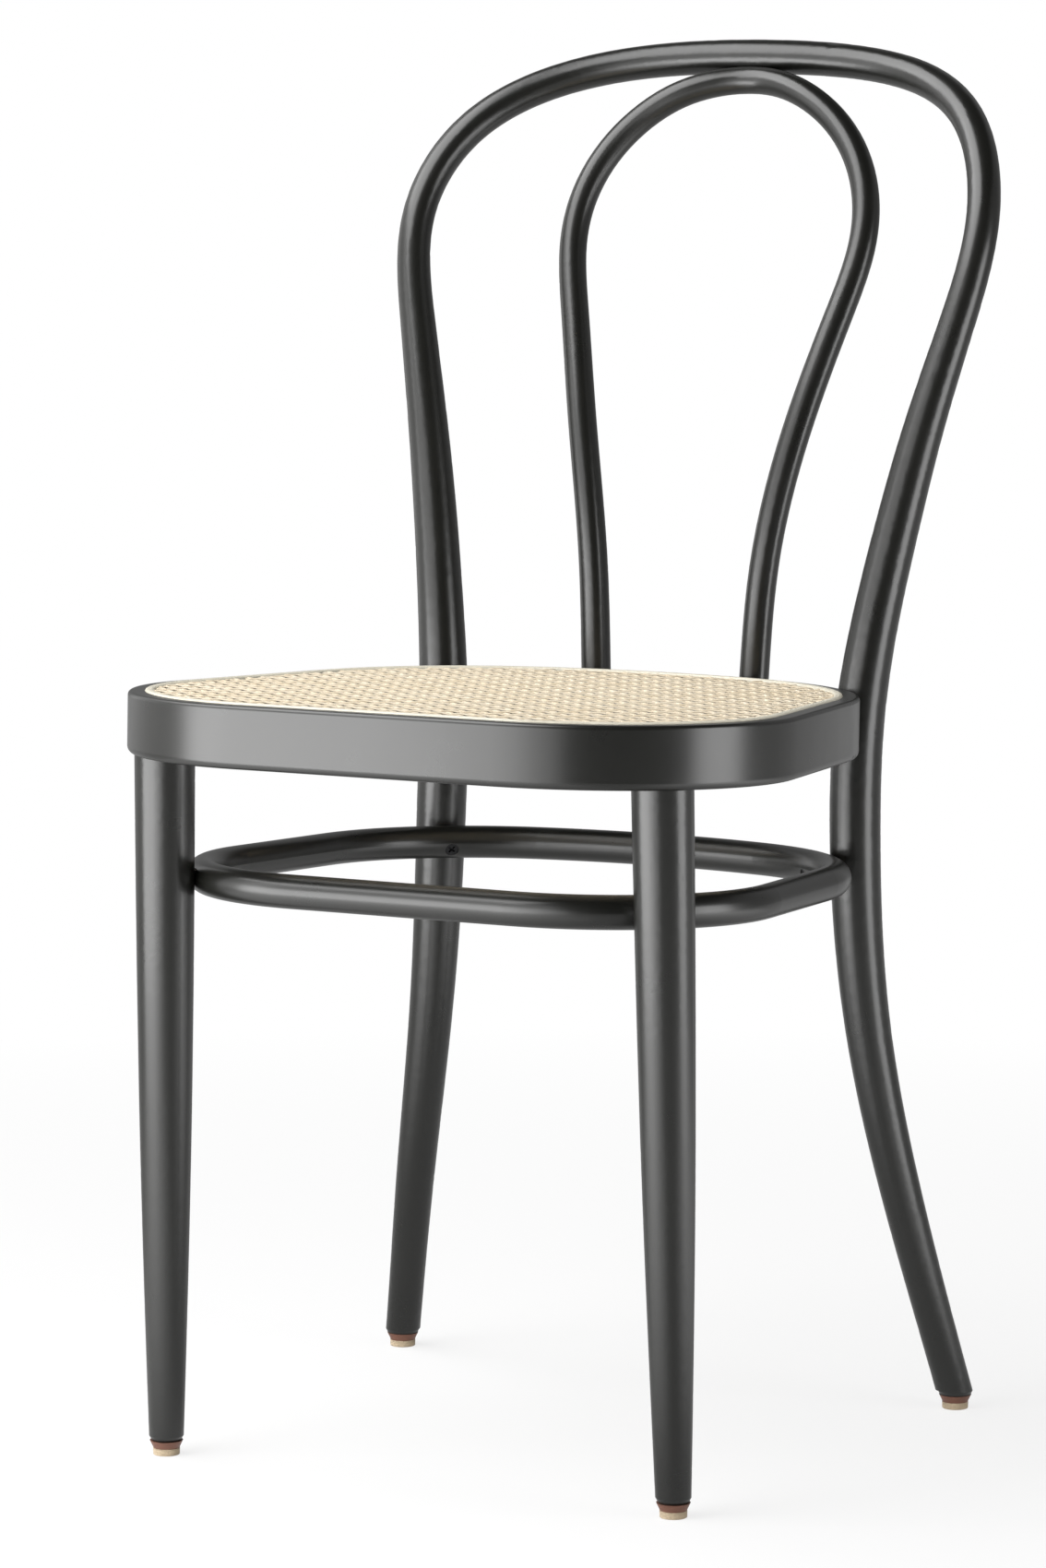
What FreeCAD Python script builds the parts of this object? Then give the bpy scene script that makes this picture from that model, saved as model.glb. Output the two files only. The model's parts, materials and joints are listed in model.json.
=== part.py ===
import FreeCAD, Part
import math
import os

# Bentwood bistro chair. One long bent rod makes the back and both rear legs, a thinner
# loop stands inside it, and a bent ring with a woven cane panel is the seat.
# Millimetres. +X is the side of the left front leg, -Y is the front, +Z is up.
# Everything is placed from the middle of the seat, at x = 0 and y = 0 on the floor.
# The finished pieces are then moved so that the origin lies under the middle of the chair.

V = FreeCAD.Vector

# Seat ring, measured on its flat plan before it is sloped
seat_height = 461.0             # top of the ring above the floor, at the seat's middle
seat_slope = 2.0                # degrees that the seat falls towards the back
ring_height = 37.5
ring_width = 38.0
ring_front = 189.5              # middle of the seat to the front face
ring_back = 212.0               # middle of the seat to the back face
ring_front_flat = 86.5          # half of the straight front
ring_front_corner = 125.0       # radius of the outer front corners
ring_back_corner = 157.0
ring_back_corner_x = 32.6       # how far the back corner's centre lies from the middle
ring_back_radius = 300.0
ring_top_edge = 2.5
ring_bottom_edge = 4.5
ring_inner_edge = 2.5

# Cane panel and the reed that wedges it in its groove
groove_inset = 10.0             # outer wall of the groove from the ring's outer face
groove_width = 7.6
groove_depth = 9.0
cane_thickness = 1.6
cane_proud = 0.3                # how far the cane stands above the ring's rim
reed_crown = 1.1                # how far the reed's rounded top stands above the rim
reed_depth = 6.5
reed_round = 2.2

# Front legs, turned and tapered
leg_inset = 21.5                # leg axis from the ring's outer face, at the corner
leg_corner_angle = 39.4         # degrees round the front corner, from the side
leg_splay_out = 5.5             # how much wider the feet stand than the leg tops
leg_splay_back = 6.0
leg_radii = (10.5, 13.6, 16.0, 17.4, 18.2)  # evenly spaced from the foot to the ring
tenon_diameter = 20.0
tenon_length = 26.0

# Hoop that makes the back and the rear legs
hoop_corner_angle = 48.5        # degrees round the back corner where it meets the ring
hoop_seat_depth = 1.0           # how deep the ring is hollowed for the hoop
hoop_joint_radius = 15.5
hoop_foot_wider = 51.6          # how much wider than at the ring
hoop_foot_back = 37.8           # how much further back than at the ring
hoop_foot_radius = 11.2
# Legs: share of the joint's height, wider, further back, radius
hoop_lower = (
    (0.28, 28.7, 14.3, 12.4),
    (0.56, 7.6, -1.3, 14.2),
    (0.84, -0.7, -4.1, 15.8),
)
# Back: height above the joint, wider, further back, radius
hoop_upper = (
    (55.5, 5.9, 7.0, 14.6),
    (116.5, 15.9, 17.8, 13.7),
    (178.0, 28.2, 29.4, 12.5),
    (237.5, 42.4, 42.8, 11.2),
    (300.0, 51.8, 61.2, 10.4),
    (357.0, 31.2, 96.3, 10.4),
    (390.0, -22.8, 136.5, 10.6),
    (400.5, -83.0, 153.0, 10.8),
)
hoop_crown_height = 402.8
hoop_crown_back = 155.8
hoop_crown_radius = 11.0

# Inner loop of the back
loop_foot_half = 55.0           # half the distance between its two feet
loop_foot_radius = 9.4
loop_seat_depth = 0.8           # how deep the ring is hollowed for each foot
loop_foot_gap = 4.0             # between the loop's end and the ring's underside
loop_crown_radius = 8.7
loop_crown_angle = 51.0         # degrees that the crown lies below and in front of the hoop
loop_crown_depth = 0.6          # how deep it is hollowed where it meets the hoop
# Share of the height from foot to crown, half width, share of the set-back, radius
loop_stations = (
    (0.232, 60.6, 0.050, 9.2),
    (0.436, 74.8, 0.173, 9.1),
    (0.627, 93.1, 0.393, 8.9),
    (0.764, 102.0, 0.569, 8.7),
    (0.859, 92.4, 0.701, 8.7),
    (0.938, 67.8, 0.820, 8.7),
    (0.987, 33.9, 0.920, 8.7),
)

# Leg ring, the round hoop that ties the four legs together
leg_ring_height = 348.8         # its axis above the floor, at the seat's middle
leg_ring_slope = 1.7            # degrees that it falls towards the back
leg_ring_radius = 10.25
leg_ring_front = 141.5          # middle of the seat to its axis
leg_ring_back = 192.0
leg_ring_front_flat = 73.0
leg_ring_back_corner_x = 48.0
leg_ring_back_radius = 317.0
saddle_depth = 0.5              # how deep the leg ring is hollowed for each leg

# Glides under the four legs
felt_diameter = 16.4
felt_thickness = 4.2
felt_edge = 0.6
cup_height = 4.6
cup_top_diameter = 20.2
cup_bottom_diameter = 15.8
foot_chamfer_height = 3.0
foot_chamfer_width = 1.5
nail_diameter = 2.6
nail_head_diameter = 7.0
nail_head_height = 1.2
nail_length = 20.0

# Screws and the dowel at the crown
hoop_screw_diameter = 7.0
hoop_screw_head = 12.0
hoop_screw_head_height = 4.5
hoop_screw_sunk = 9.0           # depth of its counterbore in the ring's inner face
hoop_screw_grip = 20.0          # how far it reaches into the hoop
washer_diameter = 15.0
washer_thickness = 1.5
loop_screw_diameter = 5.0
loop_screw_head = 9.5
loop_screw_head_height = 3.2
loop_screw_sunk = 8.0
loop_screw_grip = 12.0
leg_screw_diameter = 4.5
leg_screw_head = 8.4
leg_screw_head_height = 3.0
leg_screw_grip = 12.0
leg_screw_pitch = 25.0          # degrees that it points upwards, for a driver held low
recess_share = 0.62             # width of the cross recess, as a share of the screw's head
recess_blade = 0.16             # thickness of the cross, as a share of the screw's head
recess_depth = 0.6              # depth of the cross, as a share of the head's height
dowel_diameter = 6.0
dowel_reach = 6.5               # into the loop and into the hoop

# Fits
joint_clearance = 0.05          # between rods and the hollows they sit in, and round the reed
hole_clearance = 0.10           # round tenons, screws, nails and dowel, on the radius
end_clearance = 1.0             # beyond the end of a tenon, screw, nail or dowel
far = 1000.0                    # larger than anything on the chair

# How finely the bent rods are drawn
rod_step = 24.0                 # distance between the cross sections
rail_count = 12                 # control rails round a rod
rail_turn = 2 * math.pi / rail_count
rail_reach = 3 / (2 + math.cos(rail_turn))  # share of the radius that makes the tube round

foot_height = felt_thickness + cup_height


# Helpers

def unit(vector):
    return V(vector).normalize()


def polar(centre, radius, angle):
    return V(centre.x + radius * math.cos(angle), centre.y + radius * math.sin(angle), centre.z)


def tilted(direction, slope=seat_slope):
    """Turn a direction of the flat plan by a slope, the seat's unless another is given."""
    return FreeCAD.Rotation(V(1, 0, 0), -slope).multVec(direction)


def on_slope(flat, height, above, slope=seat_slope):
    """Place a point of the flat plan on the slope that passes the given height."""
    return tilted(V(flat.x, flat.y, above), slope) + V(0, 0, height)


def sloped(shape, height, slope=seat_slope):
    """Slope a shape that was made flat, about the X line at y = 0 and that height."""
    shape = shape.copy()
    shape.rotate(V(0, 0, height), V(1, 0, 0), -slope)
    return shape


def aimed(shape, start, direction):
    """Move a shape made along +Z from the origin so that it starts and points as given."""
    shape = shape.copy()
    shape.Placement = FreeCAD.Placement(start, FreeCAD.Rotation(V(0, 0, 1), direction))
    return shape


def mirrored(shape):
    return shape.mirror(V(0, 0, 0), V(1, 0, 0))


def both(shape):
    return [shape, mirrored(shape)]


def revolved(points):
    """Solid of revolution about +Z from (radius, height) points."""
    corners = [V(radius, 0, height) for radius, height in points]
    outline = Part.makePolygon(corners + corners[:1])
    return Part.Face(outline).revolve(V(0, 0, 0), V(0, 0, 1), 360)


def crossing(falling, low, high):
    """Where a falling function passes zero, by halving."""
    for halving in range(50):
        middle = (low + high) / 2
        if falling(middle) > 0:
            low = middle
        else:
            high = middle
    return low


def matching(shape, wanted):
    """Edges of a shape that lie where the wanted edges lie."""
    found = []
    for edge in shape.Edges:
        for other in wanted:
            if (edge.CenterOfMass - other.CenterOfMass).Length + abs(edge.Length - other.Length) < 1e-4:
                found.append(edge)
    return found


def flat_face(shape, height):
    """The level face of a shape at a height."""
    for face in shape.Faces:
        level = face.BoundBox.ZLength < 1e-4
        if level and abs(face.CenterOfMass.z - height) < 1e-4:
            return face


# Outlines of the seat ring and the leg ring

class Plan:
    """Outline of tangent arcs: straight front, two corners on each side, bowed back."""

    def __init__(self, front, back, front_flat, front_corner, back_corner, back_corner_x, back_radius):
        self.front_centre = V(front_flat, front_corner - front, 0)
        self.back_centre = V(0, back - back_radius, 0)
        rise = math.sqrt((back_radius - back_corner) ** 2 - back_corner_x ** 2)
        self.corner_centre = V(back_corner_x, self.back_centre.y + rise, 0)
        span = self.corner_centre - self.front_centre
        side = math.atan2(span.y, span.x) - math.acos((front_corner - back_corner) / span.Length)
        join = math.atan2(rise, back_corner_x)
        self.arcs = (
            (self.front_centre, front_corner, -math.pi / 2, side),
            (self.corner_centre, back_corner, side, join),
            (self.back_centre, back_radius, join, math.pi / 2),
        )

    def wire(self, inset=0.0):
        edges = []
        last = polar(V(0, self.front_centre.y, 0), self.arcs[0][1] - inset, -math.pi / 2)
        for centre, radius, start, end in self.arcs:
            ends = [polar(centre, radius - inset, angle) for angle in (start, (start + end) / 2, end)]
            if (ends[0] - last).Length > 1e-6:
                edges.append(Part.LineSegment(last, ends[0]).toShape())
            edges.append(Part.Arc(*ends).toShape())
            last = ends[2]
        edges += [mirrored(edge) for edge in edges]
        return Part.Wire(Part.__sortEdges__(edges))

    def slab(self, inset, bottom, height):
        """Plate inside the outline, from the bottom up."""
        plate = Part.Face(self.wire(inset)).extrude(V(0, 0, height))
        plate.translate(V(0, 0, bottom))
        return plate

    def band(self, outer, inner, bottom, height):
        """Ring between two insets of the outline."""
        return self.slab(outer, bottom, height).cut(self.slab(inner, bottom - height, 3 * height))


# Bent rods whose thickness changes along them

class BentRod:
    """Smooth rod through (point, radius) stations from the right foot to the crown, mirrored."""

    def __init__(self, stations):
        left = [(V(-point.x, point.y, point.z), radius) for point, radius in reversed(stations[:-1])]
        points = [point for point, radius in stations + left]
        radii = [radius for point, radius in stations + left]
        self.marks = [0.0]
        for before, after in zip(points, points[1:]):
            self.marks.append(self.marks[-1] + (after - before).Length)
        self.axis = Part.BSplineCurve()
        self.axis.interpolate(Points=points, Parameters=self.marks)
        self.taper = Part.BSplineCurve()
        self.taper.interpolate(Points=[V(r, m, 0) for r, m in zip(radii, self.marks)], Parameters=self.marks)

    def point(self, mark):
        return self.axis.value(mark)

    def radius(self, mark):
        return self.taper.value(mark).x

    def mark_at(self, height):
        """Where the first half of the rod, rising from its foot, passes a height."""
        return crossing(lambda mark: height - self.point(mark).z, 0.0, self.marks[-1] / 2)

    def rail(self, marks, angle, extra):
        """Curve that runs along the rod at one angle round it."""
        points = []
        for mark in marks:
            along = unit(self.axis.getD1(mark)[1])
            back = unit(V(0, 1, 0) - along * along.y)
            outward = back * math.cos(angle) + along.cross(back) * math.sin(angle)
            points.append(self.point(mark) + outward * (self.radius(mark) + extra) * rail_reach)
        curve = Part.BSplineCurve()
        curve.interpolate(Points=points, Parameters=marks)
        return curve

    def solid(self, extra=0.0):
        """Smooth tube over the rails, closed at both ends."""
        count = round(self.marks[-1] / rod_step)
        marks = [self.marks[-1] * number / count for number in range(count + 1)]
        rails = [self.rail(marks, number * rail_turn, extra) for number in range(rail_count)]
        skin = Part.BSplineSurface()
        skin.buildFromPolesMultsKnots(
            [rail.getPoles() for rail in rails], [1] * (rail_count + 1), rails[0].getMultiplicities(),
            [number / rail_count for number in range(rail_count + 1)], rails[0].getKnots(),
            True, False, rails[0].Degree, rails[0].Degree)
        side = skin.toShape()
        rims = [edge for edge in side.Edges if edge.isClosed()]
        shell = Part.Shell([side] + [Part.Face(Part.Wire(rim)) for rim in rims])
        shell.sewShape()
        return Part.Solid(shell)


def extended(stations, reach):
    """Carry a rod straight on below its first station."""
    end, radius = stations[0]
    second = stations[1][0]
    return [(end + unit(end - second) * reach, radius)] + stations


def end_trim(end, upward, radius):
    """What is cut off a rod so that it ends flat with a chamfered edge."""
    block = Part.makeBox(far, far, far + foot_chamfer_height, V(-far / 2, -far / 2, -far))
    tip = radius - foot_chamfer_width
    widening = foot_chamfer_width / foot_chamfer_height
    cone = Part.makeCone(tip, tip + widening * far, far)
    inside = block.cut(cone)
    reach = Part.makeCylinder(3 * radius, 4 * radius, V(0, 0, foot_chamfer_height - 4 * radius))
    return aimed(inside.common(reach), end, upward)


# Screws, made along +Z with the point downwards

def cross_recess(head, depth):
    width = head * recess_share
    blade = head * recess_blade
    across = Part.makeBox(width, blade, depth, V(-width / 2, -blade / 2, -depth))
    along = Part.makeBox(blade, width, depth, V(-blade / 2, -width / 2, -depth))
    return across.fuse(along).removeSplitter()


def countersunk_screw(diameter, head, head_height, length):
    """Flat head with its face at z = 0, and the shank down to -length."""
    shank = diameter / 2
    body = revolved(((0, 0), (head / 2, 0), (shank, -head_height), (shank, shank - length), (0, -length)))
    return body.cut(cross_recess(head, head_height * recess_depth))


def countersunk_hole(diameter, head, head_height, length):
    shank = diameter / 2 + hole_clearance
    rim = head / 2 + hole_clearance
    depth = -length - end_clearance
    return revolved(((0, 2 * rim), (rim, 2 * rim), (rim, 0), (shank, -head_height), (shank, depth), (0, depth)))


def domed_screw(diameter, head, head_height, length):
    """Domed head above z = 0, and the shank down to -length."""
    shank = diameter / 2
    rim = ((0, head_height), (head / 4, head_height), (head / 2, head_height / 3), (head / 2, 0))
    body = revolved(rim + ((shank, 0), (shank, shank - length), (0, -length)))
    recess = cross_recess(head, head_height * recess_depth)
    recess.translate(V(0, 0, head_height))
    return body.cut(recess)


def counterbored_hole(diameter, bore, sunk, length):
    """Hole with a wide mouth above z = 0 and room for the shank down to -length."""
    shank = diameter / 2 + hole_clearance
    wide = bore / 2 + hole_clearance
    mouth = sunk + bore
    depth = -length - end_clearance
    return revolved(((0, mouth), (wide, mouth), (wide, 0), (shank, 0), (shank, depth), (0, depth)))


# Where things stand

seat_plan = Plan(ring_front, ring_back, ring_front_flat, ring_front_corner,
                 ring_back_corner, ring_back_corner_x, ring_back_radius)

leg_angle = math.radians(-leg_corner_angle)
leg_top_flat = polar(seat_plan.front_centre, ring_front_corner - leg_inset, leg_angle)
leg_top = on_slope(leg_top_flat, seat_height, -ring_height)
leg_foot = V(leg_top.x + leg_splay_out, leg_top.y + leg_splay_back, foot_height)
leg_length = (leg_top - leg_foot).Length
leg_axis = unit(leg_top - leg_foot)

hoop_angle = math.radians(hoop_corner_angle)
hoop_outward = tilted(polar(V(0, 0, 0), 1.0, hoop_angle))
hoop_reach = ring_back_corner + hoop_joint_radius - hoop_seat_depth
hoop_joint = on_slope(polar(seat_plan.corner_centre, hoop_reach, hoop_angle), seat_height, -ring_height / 2)


def hoop_station(height, wider, back, radius):
    return V(hoop_joint.x + wider, hoop_joint.y + back, height), radius


hoop_rod = BentRod(extended(
    [hoop_station(foot_height, hoop_foot_wider, hoop_foot_back, hoop_foot_radius)]
    + [hoop_station(hoop_joint.z * share, wider, back, radius) for share, wider, back, radius in hoop_lower]
    + [(hoop_joint, hoop_joint_radius)]
    + [hoop_station(hoop_joint.z + rise, wider, back, radius) for rise, wider, back, radius in hoop_upper]
    + [hoop_station(hoop_joint.z + hoop_crown_height, -hoop_joint.x, hoop_crown_back, hoop_crown_radius)],
    2 * foot_height))
hoop_crown = hoop_rod.point(hoop_rod.marks[-1] / 2)
hoop_foot = hoop_rod.point(hoop_rod.mark_at(foot_height))

loop_reach = ring_back_radius + loop_foot_radius - loop_seat_depth
loop_angle = math.acos(loop_foot_half / loop_reach)
loop_outward = tilted(polar(V(0, 0, 0), 1.0, loop_angle))
loop_joint = on_slope(polar(seat_plan.back_centre, loop_reach, loop_angle), seat_height, -ring_height / 2)
crown_angle = math.radians(loop_crown_angle)
crown_up = V(0, math.cos(crown_angle), math.sin(crown_angle))
loop_crown = hoop_crown - crown_up * (hoop_crown_radius + loop_crown_radius - loop_crown_depth)


def loop_station(share, half_width, back, radius):
    rise = loop_crown - loop_joint
    return V(half_width, loop_joint.y + rise.y * back, loop_joint.z + rise.z * share), radius


loop_rod = BentRod(extended(
    [(loop_joint, loop_foot_radius)]
    + [loop_station(*station) for station in loop_stations]
    + [(loop_crown, loop_crown_radius)],
    ring_height))


def leg_radius(along):
    """Radius of the front leg at a distance along it from the foot."""
    place = along / leg_length * (len(leg_radii) - 1)
    below = min(int(place), len(leg_radii) - 2)
    return leg_radii[below] + (leg_radii[below + 1] - leg_radii[below]) * (place - below)


# The leg ring's corners are worked out so that it just sinks into the four legs
ring_drop = math.tan(math.radians(leg_ring_slope))
leg_share = (leg_ring_height - leg_foot.y * ring_drop - foot_height) / (leg_top.z - foot_height)
leg_at_ring = leg_foot + (leg_top - leg_foot) * leg_share
hoop_mark = hoop_rod.mark_at(leg_ring_height - leg_ring_back * ring_drop)
hoop_at_ring = hoop_rod.point(hoop_mark)
front_gap = leg_radius(leg_length * leg_share) + leg_ring_radius - saddle_depth
back_gap = hoop_rod.radius(hoop_mark) + leg_ring_radius - saddle_depth


def leg_ring_plan(front_corner, back_corner):
    return Plan(leg_ring_front, leg_ring_back, leg_ring_front_flat, front_corner,
                back_corner, leg_ring_back_corner_x, leg_ring_back_radius)


def flat_distance(point, centre):
    return math.hypot(point.x - centre.x, point.y - centre.y)


def front_short(radius):
    return flat_distance(leg_at_ring, leg_ring_plan(radius, radius).front_centre) - front_gap - radius


def back_short(radius):
    return flat_distance(hoop_at_ring, leg_ring_plan(radius, radius).corner_centre) - back_gap - radius


leg_ring_front_corner = crossing(front_short, leg_ring_front_flat, 2 * leg_ring_front_flat)
leg_ring_back_corner = crossing(back_short, leg_ring_front_flat, leg_ring_back)
tie_plan = leg_ring_plan(leg_ring_front_corner, leg_ring_back_corner)

# Each leg-ring screw starts on the inner side of the leg ring and points at its leg
screw_face = math.sqrt(leg_ring_radius ** 2 - (leg_screw_head / 2) ** 2)
leg_screw_length = screw_face + leg_ring_radius - saddle_depth + leg_screw_grip
leg_screw_places = []
for target, centre, radius in (
    (leg_at_ring, tie_plan.front_centre, leg_ring_front_corner),
    (hoop_at_ring, tie_plan.corner_centre, leg_ring_back_corner),
):
    toward = math.atan2(target.y - centre.y, target.x - centre.x)
    pitch = math.radians(leg_screw_pitch)
    outward = polar(V(0, 0, math.sin(pitch)), math.cos(pitch), toward)
    start = polar(centre, radius, toward) - outward * screw_face
    leg_screw_places.append((on_slope(start, leg_ring_height, start.z, leg_ring_slope),
                             tilted(-outward, leg_ring_slope)))

hoop_screw_start = on_slope(
    polar(seat_plan.corner_centre, ring_back_corner - ring_width + hoop_screw_sunk, hoop_angle),
    seat_height, -ring_height / 2)
hoop_screw_length = ring_width - hoop_screw_sunk - hoop_seat_depth + hoop_screw_grip
loop_screw_start = on_slope(
    polar(seat_plan.back_centre, ring_back_radius - ring_width + loop_screw_sunk, loop_angle),
    seat_height, -ring_height / 2)
loop_screw_length = ring_width - loop_screw_sunk - loop_seat_depth + loop_screw_grip
feet = (leg_foot, hoop_foot)


# Tools that cut the holes

def hoop_screw_holes():
    hole = counterbored_hole(hoop_screw_diameter, washer_diameter, hoop_screw_sunk, hoop_screw_length)
    return both(aimed(hole, hoop_screw_start, -hoop_outward))


def loop_screw_holes():
    hole = counterbored_hole(loop_screw_diameter, loop_screw_head, loop_screw_sunk, loop_screw_length)
    return both(aimed(hole, loop_screw_start, -loop_outward))


def leg_screw_holes():
    hole = countersunk_hole(leg_screw_diameter, leg_screw_head, leg_screw_head_height, leg_screw_length)
    return [side for place in leg_screw_places for side in both(aimed(hole, *place))]


def nail_hole(foot):
    depth = nail_length + end_clearance
    return Part.makeCylinder(nail_diameter / 2 + hole_clearance, depth, V(foot.x, foot.y, felt_thickness))


def dowel(extra):
    """Round pin through the contact between loop and hoop."""
    reach = dowel_reach + extra * end_clearance
    radius = dowel_diameter / 2 + extra * hole_clearance
    contact = loop_crown + crown_up * (loop_crown_radius - loop_crown_depth)
    return Part.makeCylinder(radius, 2 * reach, contact - crown_up * reach, crown_up)


# Pieces

def front_leg_body(extra=0.0):
    """Turned leg, carried on above the underside of the seat ring."""
    spacing = leg_length / (len(leg_radii) - 1)
    radii = [radius + extra for radius in leg_radii]
    top = radii[-1]
    taper = Part.BSplineCurve()
    taper.interpolate([V(radius, 0, number * spacing) for number, radius in enumerate(radii)])
    lower = V(0, 0, -foot_height)
    upper = V(0, 0, leg_length + top)
    edges = [
        Part.LineSegment(lower, V(radii[0], 0, -foot_height)).toShape(),
        Part.LineSegment(V(radii[0], 0, -foot_height), V(radii[0], 0, 0)).toShape(),
        taper.toShape(),
        Part.LineSegment(V(top, 0, leg_length), V(top, 0, upper.z)).toShape(),
        Part.LineSegment(V(top, 0, upper.z), upper).toShape(),
        Part.LineSegment(upper, lower).toShape(),
    ]
    turned = Part.Face(Part.Wire(edges)).revolve(V(0, 0, 0), V(0, 0, 1), 360)
    return aimed(turned, leg_foot, leg_axis)


def tenon(extra):
    """Round tenon that rises from the leg's shoulder into the ring."""
    radius = tenon_diameter / 2 + extra * hole_clearance
    length = 2 * tenon_length + extra * end_clearance
    return Part.makeCylinder(radius, length, leg_top - leg_axis * tenon_length, leg_axis)


def front_leg():
    above = Part.makeBox(far, far, far, V(-far / 2, -far / 2, seat_height - ring_height))
    leg = front_leg_body().cut(sloped(above, seat_height))
    leg = leg.fuse(tenon(0)).removeSplitter()
    cutters = [end_trim(leg_foot, V(0, 0, 1), leg_radii[0]), nail_hole(leg_foot)]
    return leg.cut(cutters + leg_screw_holes())


def seat_ring(hoop_space, loop_space):
    bottom = seat_height - ring_height
    ring = seat_plan.band(0.0, ring_width, bottom, ring_height)
    top_face = flat_face(ring, seat_height)
    bottom_face = flat_face(ring, bottom)
    outer_top = top_face.OuterWire.Edges
    outer_bottom = bottom_face.OuterWire.Edges
    inner_bottom = [edge for wire in bottom_face.Wires[1:] for edge in wire.Edges]
    ring = ring.makeFillet(ring_top_edge, outer_top)
    ring = ring.makeFillet(ring_bottom_edge, matching(ring, outer_bottom))
    ring = ring.makeFillet(ring_inner_edge, matching(ring, inner_bottom))
    groove = seat_plan.band(groove_inset, groove_inset + groove_width, seat_height - groove_depth, ring_height)
    ledge = seat_plan.slab(groove_inset + groove_width / 2, seat_height + cane_proud - cane_thickness, ring_height)
    ring = sloped(ring.cut([groove, ledge]), seat_height)
    return ring.cut([hoop_space, loop_space] + both(tenon(1)) + hoop_screw_holes() + loop_screw_holes())


def cane_panel():
    """Woven panel over the ledge, with its edge turned down into the groove."""
    lip = groove_inset + groove_width - cane_thickness
    sheet = seat_plan.slab(lip, seat_height + cane_proud - cane_thickness, cane_thickness)
    turned = seat_plan.band(lip, lip + cane_thickness - joint_clearance, seat_height - reed_depth, reed_depth)
    return sloped(sheet.fuse(turned).removeSplitter(), seat_height)


def cane_reed():
    outer = groove_inset + joint_clearance
    inner = groove_inset + groove_width - cane_thickness - joint_clearance
    reed = seat_plan.band(outer, inner, seat_height - reed_depth, reed_depth + reed_crown)
    return sloped(reed.makeFillet(reed_round, flat_face(reed, seat_height + reed_crown).Edges), seat_height)


def back_hoop(hoop):
    trims = both(end_trim(hoop_foot, V(0, 0, 1), hoop_foot_radius))
    nails = both(nail_hole(hoop_foot))
    return hoop.cut(trims + nails + hoop_screw_holes() + leg_screw_holes() + [dowel(1)])


def inner_loop(loop, hoop_space):
    end = on_slope(loop_joint, seat_height - ring_height + loop_foot_gap - loop_joint.z, loop_joint.z)
    mark = loop_rod.mark_at(end.z)
    trims = both(end_trim(loop_rod.point(mark), tilted(V(0, 0, 1)), loop_foot_radius))
    return loop.cut(trims + loop_screw_holes() + [dowel(1), hoop_space])


def leg_ring(hoop_space):
    wire = tie_plan.wire()
    start = wire.Edges[0].valueAt(wire.Edges[0].FirstParameter)
    along = wire.Edges[0].tangentAt(wire.Edges[0].FirstParameter)
    circle = Part.Wire(Part.makeCircle(leg_ring_radius, start, along))
    ring = wire.makePipeShell([circle], True, True)
    ring.translate(V(0, 0, leg_ring_height))
    spaces = both(front_leg_body(joint_clearance))
    return sloped(ring, leg_ring_height, leg_ring_slope).cut(spaces + [hoop_space] + leg_screw_holes())


def glide_cup(foot):
    top = cup_top_diameter / 2
    bottom = cup_bottom_diameter / 2
    cup = Part.makeCone(bottom, top, cup_height, V(foot.x, foot.y, felt_thickness))
    seat = Part.makeCylinder(nail_head_diameter / 2 + hole_clearance, nail_head_height,
                             V(foot.x, foot.y, felt_thickness))
    return cup.cut([seat, nail_hole(foot)])


def glide_nail(foot):
    shank = nail_diameter / 2
    head = nail_head_diameter / 2
    nail = revolved(((0, 0), (head, 0), (head, nail_head_height), (shank, nail_head_height),
                     (shank, nail_length - 2 * nail_diameter), (0, nail_length)))
    nail.translate(V(foot.x, foot.y, felt_thickness))
    return nail


def felt_pad(foot):
    pad = Part.makeCylinder(felt_diameter / 2, felt_thickness, V(foot.x, foot.y, 0))
    return pad.makeFillet(felt_edge, flat_face(pad, 0.0).Edges)


def placed(shape, start, outward):
    return both(aimed(shape, start, outward))


hoop = hoop_rod.solid()
loop = loop_rod.solid()
hoop_space = hoop_rod.solid(joint_clearance)
loop_space = loop_rod.solid(joint_clearance)

left_leg = front_leg()
washer_hole = hoop_screw_diameter / 2 + hole_clearance
washer = revolved(((washer_hole, 0), (washer_diameter / 2, 0),
                   (washer_diameter / 2, washer_thickness), (washer_hole, washer_thickness)))
hoop_screw = domed_screw(hoop_screw_diameter, hoop_screw_head, hoop_screw_head_height,
                         hoop_screw_length + washer_thickness)
loop_screw = domed_screw(loop_screw_diameter, loop_screw_head, loop_screw_head_height, loop_screw_length)
leg_screw = countersunk_screw(leg_screw_diameter, leg_screw_head, leg_screw_head_height, leg_screw_length)

pieces = {
    "back_hoop": [back_hoop(hoop)],
    "inner_loop": [inner_loop(loop, hoop_space)],
    "seat_ring": [seat_ring(hoop_space, loop_space)],
    "cane_panel": [cane_panel()],
    "cane_reed": [cane_reed()],
    "front_leg_left": [left_leg],
    "front_leg_right": [mirrored(left_leg)],
    "leg_ring": [leg_ring(hoop_space)],
    "crown_dowel": [dowel(0)],
    "hoop_screws": placed(hoop_screw, hoop_screw_start - hoop_outward * washer_thickness, -hoop_outward),
    "hoop_washers": placed(washer, hoop_screw_start, -hoop_outward),
    "loop_screws": placed(loop_screw, loop_screw_start, -loop_outward),
    "leg_ring_screws": [side for place in leg_screw_places for side in both(aimed(leg_screw, *place))],
    "glide_nails": [side for foot in feet for side in both(glide_nail(foot))],
}
for name, foot in (("front", leg_foot), ("rear", hoop_foot)):
    for side, cup, pad in zip(("left", "right"), both(glide_cup(foot)), both(felt_pad(foot))):
        pieces["glide_cup_" + name + "_" + side] = [cup]
        pieces["felt_pad_" + name + "_" + side] = [pad]

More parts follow.
